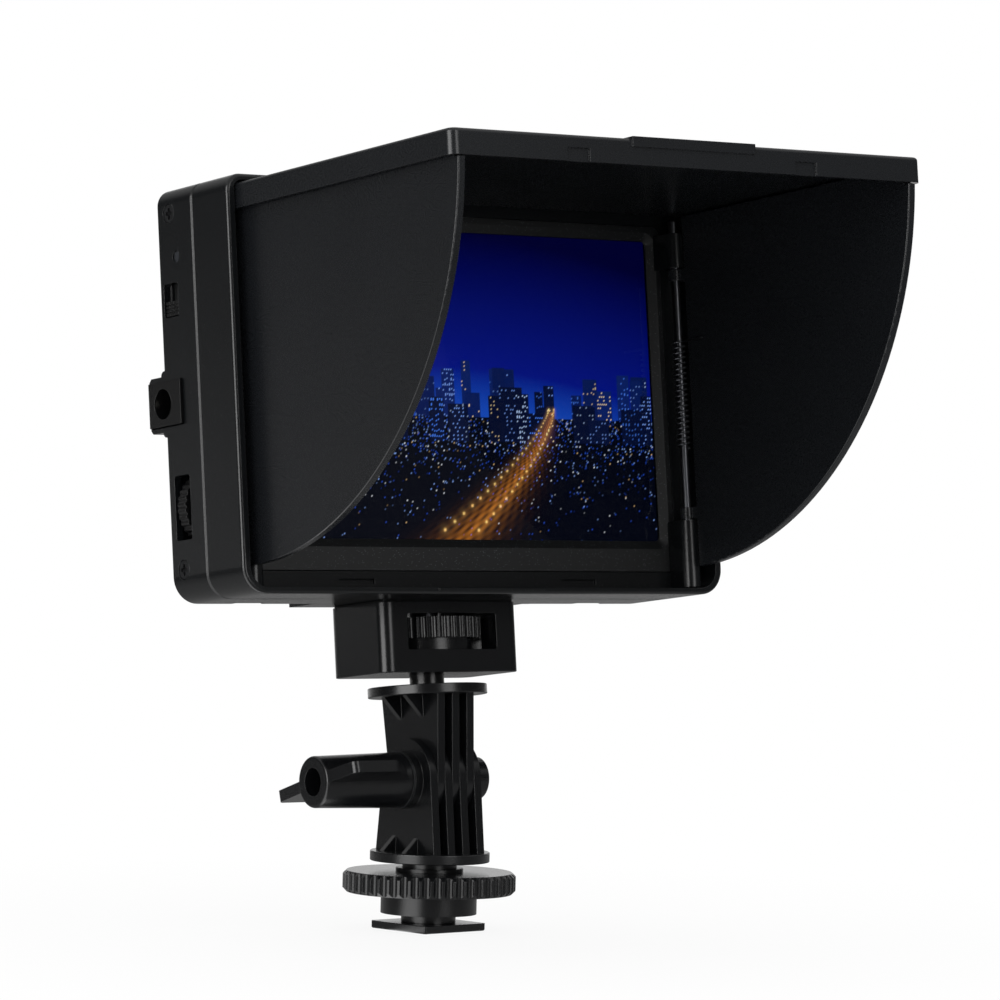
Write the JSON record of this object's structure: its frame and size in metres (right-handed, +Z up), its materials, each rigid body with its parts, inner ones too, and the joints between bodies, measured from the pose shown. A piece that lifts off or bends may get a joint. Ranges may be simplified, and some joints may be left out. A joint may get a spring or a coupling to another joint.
{
  "type": "camera field monitor with sun hood",
  "caption": "Small flat display with a folding three-sided sun hood, on a tilting and swivelling head with a shoe foot, shown hood open and leaning back.",
  "frame": {"origin": "centre of the underside of the shoe foot", "axes": "+Z up, away from the camera shoe; -Y the way the screen faces; +X to the right as seen from in front of the screen"},
  "size_m": [0.1322, 0.1175, 0.1745],
  "materials": {
    "shell_plastic": "moulded black ABS, satin",
    "bezel_plastic": "moulded black ABS, fine grain",
    "hood_plastic": "moulded black ABS, satin",
    "mount_plastic": "moulded black nylon, satin",
    "plate_plastic": "moulded black ABS",
    "button_plastic": "moulded black ABS",
    "jack_plastic": "moulded black nylon",
    "chip_plastic": "moulded epoxy",
    "board_laminate": "green solder mask on glass epoxy",
    "cover_glass": "polished clear",
    "lcd_glass": "lit display",
    "light_guide": "white acrylic",
    "led_lens": "tinted epoxy lens",
    "tray_steel": "pressed plain",
    "hinge_steel": "drawn, darkened",
    "spring_steel": "drawn wire, darkened",
    "black_steel": "black oxide",
    "nickel_pin": "nickel plated",
    "nickel_shell": "nickel plated",
    "contact_brass": "plated"
  },
  "bodies": {
    "mount": {"shoe_foot": "mount_plastic", "foot_screw": "black_steel", "lower_knuckle": "mount_plastic", "tilt_nut": "nickel_pin"},
    "lock_wheel_body": {"lock_wheel": "mount_plastic"},
    "knob": {"wing_knob": "mount_plastic", "tilt_bolt": "hinge_steel", "tilt_washer": "black_steel"},
    "tilt_head": {"upper_knuckle": "mount_plastic", "swivel_washer": "hinge_steel", "swivel_screw": "black_steel"},
    "thumb": {"thumb_wheel": "mount_plastic", "camera_stud": "hinge_steel"},
    "hood_lid": {"lid": "hood_plastic"},
    "hood_left": {"left_wing": "hood_plastic", "left_hinge_spring": "spring_steel"},
    "hood_right": {"right_wing": "hood_plastic", "right_hinge_spring": "spring_steel"},
    "slider": {"power_slider": "button_plastic"},
    "dial": {"dial_wheel": "button_plastic"},
    "release": {"release_button": "button_plastic"},
    "menu_button": {"menu_key": "button_plastic"},
    "minus_button": {"minus_key": "button_plastic"},
    "plus_button": {"plus_key": "button_plastic"},
    "input_button": {"input_key": "button_plastic"},
    "monitor": {"front_shell": "shell_plastic", "rear_shell": "shell_plastic", "left_rod_holders": "shell_plastic", "right_rod_holders": "shell_plastic", "bezel": "bezel_plastic", "display_window": "cover_glass", "lcd_panel": "lcd_glass", "backlight": "light_guide", "panel_tray": "tray_steel", "main_board": "board_laminate", "board_chips": "chip_plastic", "board_screws": "black_steel", "status_led": "led_lens", "power_switch": "chip_plastic", "dc_jack": "jack_plastic", "dc_pin": "nickel_pin", "dial_body": "chip_plastic", "hdmi_socket": "nickel_shell", "av_socket": "jack_plastic", "key_switches": "chip_plastic", "battery_plate": "plate_plastic", "battery_contacts": "contact_brass", "case_screws": "black_steel", "lid_pins": "hinge_steel", "left_hinge_rod": "hinge_steel", "right_hinge_rod": "hinge_steel", "mount_block": "mount_plastic", "block_cover": "mount_plastic", "cover_screws": "black_steel", "thread_bush": "contact_brass"}
  },
  "joints": [
    {"name": "head_tilt", "type": "hinge", "parent": "mount", "child": "tilt_head", "pos_m": [0, 0, 0.0337], "axis": [1, 0, 0], "range_deg": [-83, 97]},
    {"name": "head_swivel", "type": "hinge", "parent": "tilt_head", "child": "monitor", "pos_m": [0, 0.00285, 0.05693], "axis": [0, 0.1219, 0.9925], "continuous": true},
    {"name": "knob_turn", "type": "hinge", "parent": "mount", "child": "knob", "pos_m": [0, 0, 0.0337], "axis": [-1, 0, 0], "continuous": true},
    {"name": "lock_turn", "type": "hinge", "parent": "mount", "child": "lock_wheel_body", "pos_m": [0, 0, 0.00365], "axis": [0, 0, 1], "continuous": true},
    {"name": "stud_turn", "type": "hinge", "parent": "monitor", "child": "thumb", "pos_m": [0, 0.00477, 0.07256], "axis": [0, 0.1219, 0.9925], "continuous": true},
    {"name": "lid_lift", "type": "hinge", "parent": "monitor", "child": "hood_lid", "pos_m": [0, -0.00849, 0.16149], "axis": [-1, 0, 0], "range_deg": [0, 12]},
    {"name": "left_wing_fold", "type": "hinge", "parent": "monitor", "child": "hood_left", "pos_m": [-0.0593, -0.00944, 0.12009], "axis": [0, 0.1219, 0.9925], "range_deg": [0, 90], "stiffness_Nm_per_rad": 0.004, "springref_deg": -34.38},
    {"name": "right_wing_fold", "type": "hinge", "parent": "monitor", "child": "hood_right", "pos_m": [0.0593, -0.01212, 0.12042], "axis": [0, -0.1219, -0.9925], "range_deg": [0, 90], "stiffness_Nm_per_rad": 0.004, "springref_deg": -34.38},
    {"name": "power_slide", "type": "slide", "parent": "monitor", "child": "slider", "axis": [0, 0.1219, 0.9925], "range_m": [0, 0.0036]},
    {"name": "dial_turn", "type": "hinge", "parent": "monitor", "child": "dial", "pos_m": [-0.05765, 0.00361, 0.09391], "axis": [0, 0.9925, -0.1219], "range_deg": [-135, 135]},
    {"name": "menu_press", "type": "slide", "parent": "monitor", "child": "menu_button", "axis": [0, -0.1219, -0.9925], "range_m": [0, 0.0005], "stiffness_N_per_m": 150, "springref_m": -0.0006},
    {"name": "minus_press", "type": "slide", "parent": "monitor", "child": "minus_button", "axis": [0, -0.1219, -0.9925], "range_m": [0, 0.0005], "stiffness_N_per_m": 150, "springref_m": -0.0006},
    {"name": "plus_press", "type": "slide", "parent": "monitor", "child": "plus_button", "axis": [0, -0.1219, -0.9925], "range_m": [0, 0.0005], "stiffness_N_per_m": 150, "springref_m": -0.0006},
    {"name": "input_press", "type": "slide", "parent": "monitor", "child": "input_button", "axis": [0, -0.1219, -0.9925], "range_m": [0, 0.0005], "stiffness_N_per_m": 150, "springref_m": -0.0006},
    {"name": "release_slide", "type": "slide", "parent": "monitor", "child": "release", "axis": [0, 0.1219, 0.9925], "range_m": [0, 0.002], "stiffness_N_per_m": 120, "springref_m": -0.001}
  ]
}
